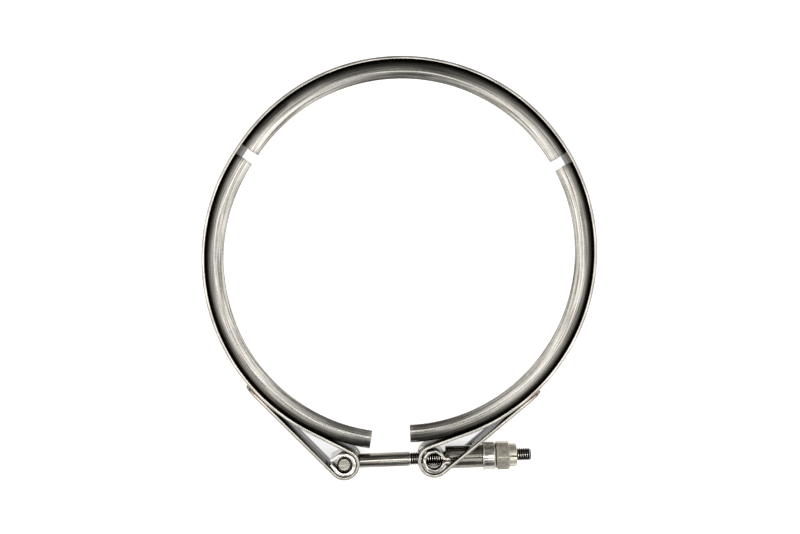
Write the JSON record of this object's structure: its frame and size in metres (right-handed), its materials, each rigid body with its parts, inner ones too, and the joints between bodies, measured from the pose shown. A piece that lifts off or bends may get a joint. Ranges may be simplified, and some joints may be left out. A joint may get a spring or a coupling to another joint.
{
  "type": "v band clamp",
  "caption": "Stainless V-band hose and flange clamp: V segments in a flat outer band, closed by a T-bolt, trunnion and lock nut across two folded loops.",
  "frame": {"origin": "on the ring's axis, half-way up the band", "axes": "+Z along the ring's axis, +Y from the axis to the middle of the crown segment, so that the latch is at -Y"},
  "size_m": [0.1403, 0.151, 0.0206],
  "materials": {
    "band_steel": "bright rolled stainless strip",
    "segment_steel": "roll-formed stainless sheet, satin",
    "bolt_steel": "drawn stainless bar with a rolled thread",
    "trunnion_steel": "folded stainless sheet, burnished",
    "nut_steel": "machined stainless, dry-film lubricated"
  },
  "bodies": {
    "crown": {"outer_band": "band_steel", "v_segment_top": "segment_steel"},
    "left_arm": {"v_segment_left": "segment_steel"},
    "right_arm": {"v_segment_right": "segment_steel"},
    "bolt": {"t_bolt": "bolt_steel", "t_bolt_sleeve": "trunnion_steel"},
    "trunnion": {"trunnion": "trunnion_steel", "trunnion_collar": "trunnion_steel"},
    "nut": {"lock_nut": "nut_steel"}
  },
  "joints": [
    {"name": "left_flex", "type": "hinge", "parent": "crown", "child": "left_arm", "pos_m": [-0.05905, 0.0352, 0], "axis": [0, 0, -1], "range_deg": [-1.34, 1.29], "deforming": ["outer_band"]},
    {"name": "right_flex", "type": "hinge", "parent": "crown", "child": "right_arm", "pos_m": [0.05905, 0.0352, 0], "axis": [0, 0, 1], "range_deg": [-1.34, 1.29], "deforming": ["outer_band"]},
    {"name": "bolt_pivot", "type": "hinge", "parent": "left_arm", "child": "bolt", "pos_m": [-0.01855, -0.07624, 0], "axis": [0, 0, 1], "range_deg": [-0.52, 0.49]},
    {"name": "trunnion_slide", "type": "slide", "parent": "bolt", "child": "trunnion", "axis": [0.998, 0.0635, 0], "range_m": [-0.00516, 0.00496]},
    {"name": "nut_spin", "type": "hinge", "parent": "trunnion", "child": "nut", "pos_m": [0.01335, -0.07421, 0], "axis": [0.998, 0.0635, 0], "range_deg": [-2340, 2250]}
  ],
  "couplings": [
    {"joint": "nut_spin", "follows": "trunnion_slide", "rad_per_m": 7915.8},
    {"joint": "left_flex", "follows": "trunnion_slide", "rad_per_m": 4.5459},
    {"joint": "right_flex", "follows": "trunnion_slide", "rad_per_m": 4.5459},
    {"joint": "bolt_pivot", "follows": "trunnion_slide", "rad_per_m": 1.7403}
  ]
}
